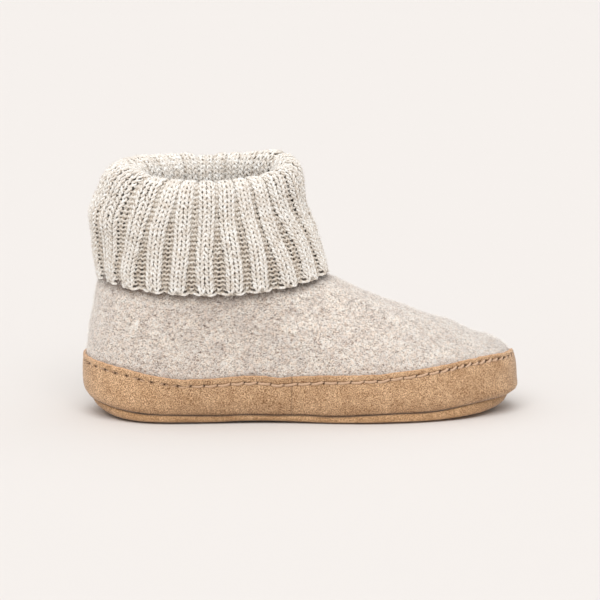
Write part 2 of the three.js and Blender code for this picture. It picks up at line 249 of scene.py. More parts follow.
def section_path(front, back, width, height, quarter=None, draw=0.0):
    """Points at even steps round a section: from its front tip along the outer side to the back,
    half of the round, and home along the inner side. quarter is the station of the quarter rounds,
    where it isn't half way, and draw is how far the steps draw together at the sides."""
    rounds, points = [], []
    turn = np.linspace(0, math.pi, PATH_STEPS + 1)
    for inner in (False, True):
        side = 1 if inner else -1
        share = (1 - side * np.cos(turn)) / 2
        x = back + (front - back) * share
        y = middle(x) + side * width(share, inner)
        half = np.stack([x, y, height(x, share, inner)], axis=-1)
        run = run_along(half)
        turned = run[-1] / 2 if quarter is None else np.interp(quarter, x[::side], run[::side])
        rounds.append(np.interp(run, [0, turned, run[-1]], [0, 0.25, 0.5]) + (0.5 if inner else 0))
        points.append(half)
    rounds, points = np.concatenate(rounds), np.concatenate(points)
    even = np.arange(ROUNDS) / ROUNDS
    swing = 4 * math.pi * (even - DRAW_ROUND)
    even = even - draw * (np.sin(swing) - DRAW_BEND * np.sin(2 * swing)) / (4 * math.pi)
    return np.stack([np.interp(even, rounds, points[:, k], period=1) for k in range(3)], axis=-1)


def last_path(level):
    section = between(LAST_SECTIONS, "z", level)
    follow = 1 - smoothstep(level, FEATHER_LEVEL, SPRING_FADE_HEIGHT)
    return section_path(
        section["front"],
        section["back"],
        lambda share, inner: last_half_width(section, share, inner),
        lambda x, share, inner: level + spring(x) * follow,
    )


class Surface:
    """A surface of stacked closed sections, with its place and outward direction anywhere on it."""

    def __init__(self, rows, path):
        self.rows = rows
        self.points = np.stack([path(row) for row in self.rows])
        up = np.gradient(self.points, self.rows, axis=0)
        around = np.roll(self.points, -1, axis=1) - np.roll(self.points, 1, axis=1)
        outward = np.cross(up, around)
        self.area = np.linalg.norm(outward, axis=-1)
        self.normals = outward / self.area[..., None]

    def at(self, row, around, off=0.0):
        """Points off the surface there, and the outward directions."""
        row, around, off = np.broadcast_arrays(row, around, off)
        i = np.interp(row, self.rows, np.arange(len(self.rows)))
        i0 = np.clip(np.floor(i).astype(int), 0, len(self.rows) - 2)
        j = (around % 1.0) * ROUNDS
        j0 = np.floor(j).astype(int) % ROUNDS
        s, t = (i - i0)[..., None], (j - np.floor(j))[..., None]

        def mixed(grid):
            low = grid[i0, j0] * (1 - t) + grid[i0, (j0 + 1) % ROUNDS] * t
            high = grid[i0 + 1, j0] * (1 - t) + grid[i0 + 1, (j0 + 1) % ROUNDS] * t
            return low * (1 - s) + high * s

        normals = unit(mixed(self.normals))
        return mixed(self.points) + normals * off[..., None], normals

    def scatter(self, count, low, high, rng):
        """Rows and rounds of points spread evenly over the surface between two rows."""
        kept = np.nonzero((self.rows >= low) & (self.rows <= high))[0]
        weight = self.area[kept].ravel()
        cells = rng.choice(weight.size, count, p=weight / weight.sum())
        row = self.rows[kept[cells // ROUNDS]]
        step = self.rows[1] - self.rows[0]
        return row + rng.uniform(-step, step, count) / 2, (cells % ROUNDS + rng.uniform(0, 1, count)) / ROUNDS


last = Surface(np.linspace(FEATHER_LEVEL - LAST_BELOW, COLLAR_LEVEL, LEVEL_STEPS), last_path)

# The cuff's rows are the way along its profile from the hem.
CUFF_SECTIONS["along"] = run_along(np.stack([CUFF_SECTIONS["side"], CUFF_SECTIONS["z_outer"]], axis=-1))
CUFF_LENGTH = CUFF_SECTIONS["along"][-1]
RIM_ALONG = CUFF_SECTIONS["along"][RIM_ROW]


def channel_at(along):
    """Share of each rib's width that the purl channel takes."""
    return between(CUFF_SECTIONS, "along", along)["channel"]


def cuff_path(along):
    section = between(CUFF_SECTIONS, "along", along)

    def height(x, share, inner):
        beside = 4 * share * (1 - share)
        ends = section["z_back"] + (section["z_front"] - section["z_back"]) * share
        return ends + (section["z_inner" if inner else "z_outer"] - ends) * beside

    width = lambda share, inner: section["side"] * end_round(share, CUFF_SHAPE)
    draw = RIB_DRAW * smoothstep(along, 0, RIM_ALONG)
    return section_path(section["front"], section["back"], width, height, CUFF_CENTRE, draw)


cuff = Surface(np.linspace(0, CUFF_LENGTH, LEVEL_STEPS), cuff_path)


def lumps(points, height, length, seed):
    """Smooth random heights at points."""
    shift = Vector([seed * step for step in SEED_STEPS])
    heights = [noise.noise(Vector(p) / length + shift) for p in points.reshape(-1, 3)]
    return height * np.array(heights).reshape(points.shape[:-1])


def swells(points, rows):
    """Height of dents and swells that are listed one by one."""
    height = np.zeros(points.shape[:-1])
    for x, y, z, reach_x, reach_y, reach_z, rise in rows:
        away = (points - (x, y, z)) / (reach_x, reach_y, reach_z)
        height = height + rise * np.exp(-(away**2).sum(axis=-1))
    return height


cuff_swell = lumps(cuff.points, *CUFF_LUMPS) + swells(cuff.points, CUFF_SWELLS)
tucked = 1 - smoothstep(cuff.points[..., 0], *HEM_TUCK_END)
cuff_swell -= HEM_TUCK * tucked * hump(cuff.rows, 0, HEM_TUCK_HEIGHT)[:, None]
cuff.points += cuff.normals * cuff_swell[..., None]


# Mesh helpers
def placed(name, data):
    """A new object in the scene."""
    thing = bpy.data.objects.new(name, data)
    bpy.context.scene.collection.objects.link(thing)
    return thing


def new_piece(name, points, faces, material, replaces=(), uv=None):
    """A mesh object from points in millimetres and faces of equal size, riding on the one body."""
    mesh = bpy.data.meshes.new(name)
    mesh.vertices.add(len(points))
    mesh.vertices.foreach_set("co", (points * UNIT).astype(np.float32).ravel())
    mesh.loops.add(faces.size)
    mesh.loops.foreach_set("vertex_index", faces.astype(np.int32).ravel())
    mesh.polygons.add(len(faces))
    mesh.polygons.foreach_set("loop_start", np.arange(0, faces.size, faces.shape[1], dtype=np.int32))
    mesh.polygons.foreach_set("use_smooth", np.ones(len(faces), bool))
    if uv is not None:
        layer = mesh.uv_layers.new(name="yarn")
        layer.data.foreach_set("uv", uv.astype(np.float32).ravel())
    mesh.update(calc_edges=True)
    mesh.materials.append(material)
    piece = placed(name, mesh)
    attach(piece, "root")
    if replaces:
        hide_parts(*replaces)
    return piece


def paint(piece, name, values):
    """Keeps a number for each point of a piece, for its material."""
    piece.data.attributes.new(name, "FLOAT", "POINT").data.foreach_set("value", values.astype(np.float32))


def grid_faces(rows, columns, close_rows=False, close_columns=True):
    """Quads of a grid of points."""
    r = np.arange(rows if close_rows else rows - 1)[:, None]
    c = np.arange(columns if close_columns else columns - 1)[None, :]
    r1, c1 = (r + 1) % rows, (c + 1) % columns
    corners = [r * columns + c, r * columns + c1, r1 * columns + c1, r1 * columns + c]
    return np.stack(np.broadcast_arrays(*corners), axis=-1).reshape(-1, 4)


def tubes(paths, normals, radius, sides, closed):
    """Points, quads and lengthwise coordinates of round tubes along paths of equal count."""
    count, steps = paths.shape[:2]
    ahead = np.roll(paths, -1, axis=1) - np.roll(paths, 1, axis=1) if closed else np.gradient(paths, axis=1)
    tangents = unit(ahead)
    beside = unit(np.cross(tangents, normals))
    above = np.cross(beside, tangents)
    angle = 2 * math.pi * np.arange(sides) / sides
    ring = above[:, :, None] * np.cos(angle)[:, None] + beside[:, :, None] * np.sin(angle)[:, None]
    points = paths[:, :, None] + ring * np.broadcast_to(radius, (count, steps))[..., None, None]
    one = grid_faces(steps, sides, close_rows=closed)
    faces = (one[None] + (np.arange(count) * steps * sides)[:, None, None]).reshape(-1, 4)
    stretch = np.linalg.norm(np.diff(paths, axis=1, append=paths[:, :1]), axis=-1)
    run = np.concatenate([np.zeros((count, 1)), np.cumsum(stretch, axis=1)], axis=1)
    bands = steps if closed else steps - 1
    here, there = run[:, :bands], run[:, 1:bands + 1]
    lengthwise = np.repeat(np.stack([here, here, there, there], axis=-1)[:, :, None], sides, axis=2)
    side = np.arange(sides)
    girth = np.broadcast_to(np.stack([side, side + 1, side + 1, side], axis=-1) / sides, lengthwise.shape)
    return points.reshape(-1, 3), faces, np.stack([lengthwise, girth], axis=-1).reshape(-1, 2)


# A hair is a narrow strip with a knee. These give ranges of its length and lift as shares, of its bend in
# radians, and the shape of both halves as shares of its length.
HAIR_LENGTHS = (0.5, 1.3)
HAIR_LIFTS = (0.1, 1.0)
HAIR_BENDS = (-0.7, 0.7)
HAIR_KNEE = 0.55
HAIR_TIP = 0.5
TIP_LIE = 0.85
TIP_RISE = 0.3


def fibres(roots, normals, length, width, lift, rng):
    """Points and triangles of short bent hairs, each a narrow tapering strip."""
    count = len(roots)
    lie = unit(np.cross(normals, rng.normal(size=(count, 3))))
    side = np.cross(normals, lie)
    long = (length * rng.uniform(*HAIR_LENGTHS, count))[:, None]
    rise = (lift * rng.uniform(*HAIR_LIFTS, count))[:, None]
    bend = rng.uniform(*HAIR_BENDS, count)[:, None]
    start = lie * np.cos(rise) + normals * np.sin(rise)
    ending = lie * np.cos(bend) + side * np.sin(bend)
    spread = rng.uniform(0, math.pi, count)[:, None]
    half = (np.cos(spread) * side + np.sin(spread) * normals) * width / 2
    knee = roots + start * long * HAIR_KNEE
    tip = knee + (ending * TIP_LIE + normals * np.sin(rise) * TIP_RISE) * long * HAIR_TIP
    points = np.stack([roots - half, roots + half, knee - half, knee + half, tip], axis=1)
    one = np.array([(0, 1, 3), (0, 3, 2), (2, 3, 4)])
    return points.reshape(-1, 3), (one[None] + np.arange(count)[:, None, None] * 5).reshape(-1, 3)


# Materials
WHITE = (255, 255, 255)
SPECULAR = 0.15
SHEEN_ROUGHNESS = 0.5


def screen(red, green, blue):
    """A colour as it shows on a screen, 0 to 255, as linear light."""
    linear = [((c / 255 + 0.055) / 1.055) ** 2.4 if c > 10 else c / 255 / 12.92 for c in (red, green, blue)]
    return (*linear, 1)


class Shading:
    """A procedural material, with short ways to make its nodes. Its colours are as on a screen."""

    def __init__(self, name, roughness, sheen):
        self.material = bpy.data.materials.new(name)
        self.material.use_nodes = True
        self.tree = self.material.node_tree
        self.shader = self.tree.nodes["Principled BSDF"].inputs
        self.shader["Roughness"].default_value = roughness
        self.shader["Specular IOR Level"].default_value = SPECULAR
        self.shader["Sheen Weight"].default_value = sheen
        self.shader["Sheen Roughness"].default_value = SHEEN_ROUGHNESS

    def put(self, socket, value):
        """Links a socket to another one, or sets its value."""
        if isinstance(value, bpy.types.NodeSocket):
            self.tree.links.new(value, socket)
        else:
            socket.default_value = screen(*value) if socket.type == "RGBA" else value

    def add(self, kind, inputs, **settings):
        node = self.tree.nodes.new("ShaderNode" + kind)
        for name, value in settings.items():
            setattr(node, name, value)
        for name, value in inputs.items():
            self.put(node.inputs[name], value)
        return node

    def place(self):
        return self.add("TexCoord", {}).outputs["Object"]

    def painted(self, name):
        """Numbers that a piece keeps for its points."""
        return self.add("Attribute", {}, attribute_name=name).outputs["Fac"]

    def along(self, start, end, most=1.0):
        """From 0 to most between two stations of the shoe."""
        x = self.add("SeparateXYZ", {"Vector": self.place()}).outputs["X"]
        inputs = {"Value": x, "From Min": start * UNIT, "From Max": end * UNIT, "To Max": most}
        return self.add("MapRange", inputs).outputs["Result"]

    def grain(self, size, detail=2.0, roughness=0.5, stretch=None, wisp=0.0):
        """Noise with features of a size in millimetres, longer along some axes where stretch says so, and
        drawn out into wisps."""
        place = self.place()
        if stretch:
            place = self.add("Mapping", {"Vector": place, "Scale": stretch}).outputs["Vector"]
        inputs = {"Vector": place, "Scale": 1 / (size * UNIT), "Detail": detail, "Roughness": roughness}
        return self.add("TexNoise", {**inputs, "Distortion": wisp}).outputs["Fac"]

    def calc(self, operation, first, second=0.0):
        return self.add("Math", {0: first, 1: second}, operation=operation).outputs[0]

    def twist(self, turns):
        """Way round a yarn, in turns, with some turns for each millimetre of its length."""
        place = self.add("UVMap", {}, uv_map="yarn").outputs["UV"]
        parts = self.add("SeparateXYZ", {"Vector": place}).outputs
        return self.calc("ADD", self.calc("MULTIPLY", parts["X"], turns), parts["Y"])

    def wave(self, turns, count):
        """A wave that goes up and down a number of times in each turn."""
        return self.calc("SINE", self.calc("MULTIPLY", turns, 2 * math.pi * count))

    def ramp(self, factor, *stops):
        """Colours along a factor, from a few stops."""
        node = self.add("ValToRGB", {"Fac": factor})
        elements = node.color_ramp.elements
        while len(elements) < len(stops):
            elements.new(0.5)
        for element, (place, colour) in zip(elements, stops):
            element.position = place
            element.color = screen(*colour)
        return node.outputs["Color"]

    def blend(self, factor, first, second, way="MIX"):
        """One colour over another by a factor, which may vary over the surface."""
        node = self.add("Mix", {}, data_type="RGBA", blend_type=way)
        for socket, value in ((0, factor), (6, first), (7, second)):
            self.put(node.inputs[socket], value)
        return node.outputs[2]

    def shade(self, colour, factor, *stops, amount=1.0):
        """A colour darkened by colours along a factor."""
        return self.blend(amount, colour, self.ramp(factor, *stops), "MULTIPLY")

    def done(self, colour, height=None, distance=0.0, strength=1.0):
        """The material with its colour, and its relief as a height over a distance in millimetres."""
        self.put(self.shader["Base Color"], colour)
        if height is not None:
            relief = {"Height": height, "Distance": distance * UNIT, "Strength": strength}
            self.put(self.shader["Normal"], self.add("Bump", relief).outputs["Normal"])
        return self.material


def felt_material():
    """Boiled wool: pale fibres with grey-brown ones among them, cloudy, soft at the edges."""
    felt = Shading("felt", roughness=0.95, sheen=0.6)
    fleck = felt.grain(0.6, detail=2, roughness=0.7, wisp=1.3)
    strand = felt.grain(1.6, detail=3, roughness=0.65, stretch=(0.75, 0.75, 1.2), wisp=1.5)
    both = felt.calc("ADD", felt.calc("MULTIPLY", fleck, 0.5), felt.calc("MULTIPLY", strand, 0.5))
    dark_half = (0.415, (116, 101, 91)), (0.465, (205, 191, 181))
    pale_half = (0.503, (240, 231, 222)), (0.545, (255, 253, 249))
    colour = felt.ramp(both, *dark_half, *pale_half)
    toward_toe = felt.along(30, 120, most=0.45)
    colour = felt.blend(toward_toe, colour, (204, 201, 198))
    cloud = felt.grain(9, detail=4, roughness=0.6)
    colour = felt.shade(colour, cloud, (0.32, (228, 220, 215)), (0.62, (251, 247, 242)), amount=0.9)
    tints = (0.36, (255, 249, 244)), (0.5, (253, 253, 253)), (0.64, (248, 251, 254))
    colour = felt.shade(colour, felt.grain(1.7), *tints)
    # Painted shadow on the felt just under the cuff's hem.
    colour = felt.blend(felt.painted("hem_shadow"), colour, (118, 101, 87), "MULTIPLY")
    return felt.done(colour, both, distance=0.9, strength=0.8)


def yarn_material():
    """Two-ply wool yarn, pale with grey-brown flecks, its plies wound round each other, with painted shade
    in the gaps between the loops and a little in the channels."""
    yarn = Shading("knit_yarn", roughness=0.9, sheen=0.3)
    turns = yarn.twist(0.28)
    ply = yarn.calc("ADD", yarn.calc("MULTIPLY", yarn.wave(turns, 2), 0.5), 0.5)
    flecks = (0.34, (224, 217, 208)), (0.44, (248, 244, 238)), (0.6, (255, 255, 253))
    colour = yarn.ramp(yarn.grain(2.2, detail=3, roughness=0.65), *flecks)
    colour = yarn.shade(colour, ply, (0.0, (243, 240, 236)), (0.45, WHITE), amount=0.9)
    colour = yarn.shade(colour, yarn.wave(turns, 1), (0.0, (247, 244, 241)), (0.5, WHITE))
    colour = yarn.shade(colour, yarn.grain(5, detail=3), (0.38, (245, 242, 239)), (0.56, WHITE))
    gaps = (0.34, (104, 98, 91)), (0.5, (172, 165, 157)), (0.66, (238, 234, 229)), (0.78, WHITE)
    # Painted shade: darker where the yarn lies deep or faces inward, and a little in the channels.
    colour = yarn.shade(colour, yarn.painted("height"), *gaps)
    colour = yarn.shade(colour, yarn.painted("relief"), (0.0, (242, 237, 231)), (0.7, WHITE))
    fuzz = yarn.calc("MULTIPLY", yarn.grain(0.5, detail=3), 0.6)
    return yarn.done(colour, yarn.calc("ADD", ply, fuzz), distance=0.25, strength=0.7)


def ground_material():
    """The back of the knit, seen only between its loops, its dark colour painted shade."""
    ground = Shading("knit_ground", roughness=0.95, sheen=0.2)
    colour = ground.ramp(ground.grain(2, detail=3), (0.35, (112, 104, 96)), (0.65, (148, 139, 130)))
    return ground.done(colour, ground.grain(1), distance=0.4)


def hair_material(name, dark, light):
    """Single wool hairs."""
    hair = Shading(name, roughness=0.9, sheen=0.3)
    return hair.done(hair.ramp(hair.grain(3), (0.35, dark), (0.6, light)))


def suede_material(name, dark, middle_tone, light, hole):
    """Suede: a short nap that lies in patches of slightly different tone, darker along the middle of the
    shoe than at its ends, pale at a cut edge, and with painted shade in holes and grooves."""
    suede = Shading(name, roughness=0.92, sheen=0.25)
    nap = suede.grain(0.46, detail=3, roughness=0.65)
    colour = suede.ramp(nap, (0.435, dark), (0.492, middle_tone), (0.555, light))
    # Darker along the middle of the shoe than at its ends.
    middle_dark, middle_half_dark = (237, 237, 237), (244, 244, 244)
    station = suede.along(HEEL_TIP, TOE_TIP)
    colour = suede.shade(colour, station, (0.08, WHITE), (0.27, middle_dark), (0.45, middle_dark), (0.65, middle_half_dark))
    patch = suede.grain(11, detail=4, roughness=0.6)
    colour = suede.shade(colour, patch, (0.3, (222, 213, 202)), (0.66, WHITE), amount=0.9)
    colour = suede.blend(suede.painted("edge"), colour, (214, 168, 132))
    # Painted shade in the stitch holes, the stitch trough, the groove over the sole and at the sole's foot;
    # also the dark line at the butt seams.
    colour = suede.blend(suede.painted("pit"), colour, hole)
    return suede.done(colour, nap, distance=0.3, strength=0.8)


def thread_material():
    """Stitching thread: tan with a pale pink cast, twisted."""
    thread = Shading("thread", roughness=0.7, sheen=0.1)
    wound = thread.wave(thread.twist(0.8), 2)
    colour = thread.ramp(wound, (0.0, (190, 150, 118)), (0.7, (244, 214, 184)))
    return thread.done(colour, wound, distance=0.1)


def footbed_material():
    bed = Shading("footbed", roughness=0.95, sheen=0.3)
    both = bed.grain(1.4, detail=4, roughness=0.7)
    colour = bed.ramp(both, (0.36, (176, 160, 146)), (0.5, (208, 194, 180)), (0.66, (232, 222, 210)))
    return bed.done(colour, both, distance=0.7)


# Felt upper
FELT_COLUMNS = 400
FELT_ROWS = 64
FELT_INNER_ROWS = 22
# Levels where the felt's relief begins above the rand, and where it ends under the cuff.
RELIEF_START_REACH = (26, 38)
RELIEF_END_REACH = (86, 96)
HEM_SHADOW_REACH = (-1, 7)  # way below the cuff's hem over which the painted shadow on the felt fades
FELT_HAIRS = 38000
FELT_HAIR_LEVELS = (27, 92)
FELT_HAIR = {"length": 2.6, "width": 0.09, "lift": 0.9}


def felt_point(level, around):
    """Points on the finished face of the felt, with its swells above the rand and below the cuff."""
    points, normals = last.at(level, around)
    relief = sum(lumps(points, *each) for each in FELT_LUMPS) + swells(points, FELT_SWELLS)
    free = smoothstep(level, *RELIEF_START_REACH) * (1 - smoothstep(level, *RELIEF_END_REACH))
    return points + normals * (relief * free)[..., None], normals


def hem_level(points):
    """Height of the cuff's hem beside points of the felt."""
    x, y, z = points.T
    halves = (half[np.argsort(half[:, 0])] for half in np.split(cuff.points[0], 2))
    outer, inner = (np.interp(x, half[:, 0], half[:, 2]) for half in halves)
    return np.where(y < middle(x), outer, inner)


def felt_upper(material):
    around = np.arange(FELT_COLUMNS)[None, :] / FELT_COLUMNS
    outside = felt_point(np.linspace(FEATHER_LEVEL, COLLAR_LEVEL, FELT_ROWS)[:, None], around)[0]
    inner_levels = np.linspace(COLLAR_LEVEL, FEATHER_LEVEL, FELT_INNER_ROWS)[:, None]
    inside = last.at(inner_levels, around, -FELT_WALL)[0]
    inside[0, :, 2] = COLLAR_LEVEL
    inside[-1, :, 2] = outside[0, :, 2]
    points = np.concatenate([outside, inside])
    faces = grid_faces(len(points), FELT_COLUMNS, close_rows=True)
    points = points.reshape(-1, 3)
    piece = new_piece("felt_upper", points, faces[:, ::-1], material, ["upper"])
    # Painted shadow of the cuff's hem on the felt, fading downwards.
    paint(piece, "hem_shadow", 1 - smoothstep(hem_level(points) - points[:, 2], *HEM_SHADOW_REACH))


def felt_fuzz(material, rng):
    """Hairs that stand off the felt between the rand and the cuff."""
    level, around = last.scatter(FELT_HAIRS, *FELT_HAIR_LEVELS, rng)
    points, faces = fibres(*felt_point(level, around), **FELT_HAIR, rng=rng)
    new_piece("felt_fuzz", points, faces, material)


# Knit cuff
WALES = 4  # in each rib: a purl one, two knit ones and a purl one
COURSE_PITCH = 2.8
YARN_RADIUS = 0.82
KNIT_REACH = 0.96  # half height of a knit loop, in courses
PURL_REACH = 1.14  # and of a purl loop
PURL_YARN = 0.8  # how much of its girth the yarn keeps in the drawn-in channels
LOOP_LEAN = 0.26  # sideways swing of a loop's legs, in wale widths
LOOP_DEPTH = 0.65  # how far a loop's legs stand in front of the middle of the fabric
LOOP_SHIFT = 0.22  # how uneven the loops are: along the knit,
LOOP_SWAY = 0.018  # across it in ribs,
LOOP_STAND = 0.14  # and out of it
LOOP_TURN = math.pi / 3  # part of a loop where it goes over to the next
RIB_RISE = 0.5
RIB_CROWN = 0.35  # how much higher the middle of a rib stands
RIB_SWAY = 0.04  # how far the ribs wander sideways, in ribs,
RIB_SWAY_LENGTH = 60  # and over what length
CHANNEL_DROP = 1.6  # depth of the purl channels where the ribs are wide open
CHANNEL_SHUT = 0.9  # and where they have closed up
CHANNEL_REACH = (0.14, 0.42)  # channel shares of the shut and the open places
CHANNEL_FLAT = 0.3  # half the floor of a channel, as a share of it
CHANNEL_SLOPE = 0.1  # how far its sides reach into the rib
HEM_WAVE = 0.7  # how far the ribs hang below the channels at the hem
HEM_WAVE_REACH = 9.0
# How deep the gaps between the loops look, as painted shade: more in the channels, and less, as painted
# light, from the rim inward and towards the cuff's front and back. The reaches are along the knit and from
# its middle.
CHANNEL_DARK = 0.09
RIM_LIGHT = 0.1
RIM_REACH = (58, 74)
END_LIGHT = 0.1
END_REACH = (34, 60)
COURSES = int(CUFF_LENGTH / COURSE_PITCH - 2 * PURL_REACH) + 1
# Runs of courses from the hem: points for each stitch and sides of the yarn, plainer where little shows.
KNIT_RUNS = (
    ("knit_fold_low", 0, 12, 12, 6),
    ("knit_fold_high", 12, 24, 12, 6),
    ("knit_rim", 24, 36, 12, 6),
    ("knit_inside", 36, COURSES, 8, 5),
)


def rib_relief(share, channel):
    """Height of the ribs over the middle of the fabric, at shares of a rib's width from a purl channel."""
    away = np.minimum(share % 1, 1 - share % 1)
    up = smoothstep(away, CHANNEL_FLAT * channel, 0.5 * channel + CHANNEL_SLOPE)
    depth = CHANNEL_SHUT + (CHANNEL_DROP - CHANNEL_SHUT) * smoothstep(channel, *CHANNEL_REACH)
    on_rib = np.clip((away - channel / 2) / (0.5 - channel / 2), 0, 1)
    return up * (RIB_RISE + depth + RIB_CROWN * np.sin(math.pi * on_rib / 2)) - depth


def hem_wave(share, along):
    """How far the channels are drawn up at the hem."""
    return HEM_WAVE / 2 * (1 + np.cos(2 * math.pi * share)) * np.exp(-along / HEM_WAVE_REACH)


def knit_courses(first, last_course, points_per_stitch, rng):
    """Yarn of some courses of the two-by-two rib, each a closed round of loops: points, outward
    directions, depths in the fabric and heights of the ribs. Two wales stand as knit with their legs in
    front, two as purl with their arcs in front."""
    course = np.arange(first, last_course)[:, None, None, None]
    rib = np.arange(RIB_COUNT)[None, :, None, None]
    wale = np.arange(WALES)[None, None, :, None]
    turn = (2 * math.pi * np.arange(points_per_stitch) / points_per_stitch)[None, None, None, :]
    knit = np.array([-1.0, 1.0, 1.0, -1.0])
    own, before, after = knit[wale], knit[(wale - 1) % WALES], knit[(wale + 1) % WALES]
    reach = np.where(own > 0, KNIT_REACH, PURL_REACH)
    along = (course + reach - reach * np.cos(turn)) * COURSE_PITCH
    channel = channel_at(along)
    none, half, full = np.zeros_like(channel), np.full_like(channel, 0.5), np.ones_like(channel)
    edges = [none, channel / 2, half, 1 - channel / 2, full]
    low, high = np.choose(wale, edges[:-1]), np.choose(wale, edges[1:])
    share = low + (high - low) * (turn / (2 * math.pi) + LOOP_LEAN * np.sin(2 * turn))
    start = smoothstep(turn, 0, LOOP_TURN)
    end = smoothstep(turn, 2 * math.pi - LOOP_TURN, 2 * math.pi)
    face = (before + own) / 2 * (1 - start) + own * start * (1 - end) + (own + after) / 2 * end
    uneven = np.sin(turn / 2) ** 2 * rng.normal(size=(3, last_course - first, RIB_COUNT, WALES, 1))
    along = along + LOOP_SHIFT * uneven[0]
    share = share + LOOP_SWAY * uneven[1]
    depth = -face * LOOP_DEPTH * np.cos(2 * turn) + LOOP_STAND * uneven[2]
    relief = rib_relief(share, channel)
    along = along + hem_wave(share, along)
    sway = RIB_SWAY * np.sin(2 * math.pi * along / RIB_SWAY_LENGTH + GOLDEN_TURN * rib)
    around = (rib + share + sway) / RIB_COUNT
    along, around, depth, relief = np.broadcast_arrays(along, around, depth, relief)
    points, normals = cuff.at(along, around, relief + depth)
    shape = (last_course - first, -1)
    return points.reshape(*shape, 3), normals.reshape(*shape, 3), depth.reshape(shape), relief.reshape(shape)


def knit_cuff(material, rng):
    for name, first, last_course, points_per_stitch, sides in KNIT_RUNS:
        paths, normals, depth, relief = knit_courses(first, last_course, points_per_stitch, rng)
        raised = np.clip(1 + relief / CHANNEL_DROP, 0, 1)
        radius = YARN_RADIUS * (PURL_YARN + (1 - PURL_YARN) * raised)
        points, faces, uv = tubes(paths, normals, radius, sides, closed=True)
        replaced = ["cuff"] if name == "knit_fold_low" else []
        piece = new_piece(name, points, faces, material, replaced, uv=uv)
        # Painted shade from the yarn's depth and side, darker in the channels, with painted light towards the
        # rim and the cuff's ends.
        girth = YARN_RADIUS * np.cos(2 * math.pi * np.arange(sides) / sides)
        height = 0.5 + (depth[..., None] + girth) / (2 * (LOOP_DEPTH + YARN_RADIUS))
        slack = RIM_LIGHT * smoothstep(COURSE_PITCH * np.arange(first, last_course), *RIM_REACH)
        at_end = END_LIGHT * smoothstep(np.abs(paths[..., 0] - CUFF_CENTRE), *END_REACH)
        height = height - CHANNEL_DARK * (1 - raised)[..., None] + (slack[:, None] + at_end)[..., None]
        paint(piece, "height", np.clip(height, 0, 1).ravel())
        paint(piece, "relief", np.repeat(raised.ravel(), sides))


# The chain that binds off the stitches along the hem
EDGE_WALES = 2  # wales for each of its loops
EDGE_LEVEL = 1.3  # way of its middle above the hem
EDGE_HALF = 1.55  # half its width
EDGE_REACH = 0.19  # how far its loops run on through the next, in loops
EDGE_OUT = 0.3  # how far it stands out of the fabric,
EDGE_DEPTH = 0.4  # and how much more or less where its loops cross
EDGE_HEIGHT = 0.7  # painted height for the yarn's painted shade, how far out of the fabric it looks,
EDGE_SHADE = 0.14  # and how much less, darker in painted shade, where its loops cross
EDGE_YARN = 0.9  # share of its girth that the yarn keeps
EDGE_POINTS = 20  # points for each loop
EDGE_SIDES = 6
EDGE_STEP = 2.0  # way above the hem that gives the fabric's direction there


def knit_edge(material):
    stitch = np.arange(WALES // EDGE_WALES * RIB_COUNT * EDGE_POINTS) / EDGE_POINTS
    turn = 2 * math.pi * stitch
    place = EDGE_WALES * (stitch - EDGE_REACH * (1 - np.cos(turn)))
    channel = CUFF_SECTIONS["channel"][0]
    share = np.interp(place % WALES, np.arange(WALES + 1), [0, channel / 2, 0.5, 1 - channel / 2, 1])
    around = (place // WALES + share) / RIB_COUNT
    off = rib_relief(share, channel) + EDGE_OUT - EDGE_DEPTH * np.cos(2 * turn)
    start, normals = cuff.at(0.0, around, off)
    ahead = cuff.at(EDGE_STEP, around, off)[0]
    along = EDGE_LEVEL + hem_wave(share, 0.0) + EDGE_HALF * np.sin(turn)
    path = start + (ahead - start) / EDGE_STEP * along[:, None]
    points, faces, uv = tubes(path[None], normals[None], EDGE_YARN * YARN_RADIUS, EDGE_SIDES, closed=True)
    piece = new_piece("knit_edge", points, faces, material, uv=uv)
    # Painted shade along the chain, darker where its loops cross.
    paint(piece, "height", np.repeat(EDGE_HEIGHT - EDGE_SHADE * np.cos(2 * turn), EDGE_SIDES))
    paint(piece, "relief", np.ones(len(points)))


GROUND_ROWS = 44
GROUND_COLUMNS = RIB_COUNT * 8
GROUND_OFF = -1.7
GROUND_WALL = 0.8
GROUND_FIRST = 0.8  # where it starts above the hem,
GROUND_SHORT = 0.4  # and how far it ends short of the collar seam


def knit_ground(material):
    """The back of the knit under its loops, one thin ribbed tube, dark as painted shade between them."""
    along = np.linspace(GROUND_FIRST, CUFF_LENGTH - GROUND_SHORT, GROUND_ROWS)[:, None]
    around = np.arange(GROUND_COLUMNS)[None, :] / GROUND_COLUMNS
    off = rib_relief(around * RIB_COUNT, channel_at(along)) + GROUND_OFF
    front = cuff.at(along, around, off)[0]
    back = cuff.at(along, around, off - GROUND_WALL)[0][::-1]
    points = np.concatenate([front, back])
    faces = grid_faces(len(points), GROUND_COLUMNS, close_rows=True)
    new_piece("knit_ground", points.reshape(-1, 3), faces[:, ::-1], material)


KNIT_HAIRS = 16000
KNIT_HAIR_END = 0.75  # share of the knit, from the hem, that has hairs
KNIT_HAIR = {"length": 2.8, "width": 0.08, "lift": 1.1}


def knit_fuzz(material, rng):
    """Hairs that stand off the yarn."""
    along, around = cuff.scatter(KNIT_HAIRS, 0, CUFF_LENGTH * KNIT_HAIR_END, rng)
    off = rib_relief(around * RIB_COUNT, channel_at(along)) + YARN_RADIUS
    points, faces = fibres(*cuff.at(along, around, off), **KNIT_HAIR, rng=rng)
    new_piece("knit_fuzz", points, faces, material)


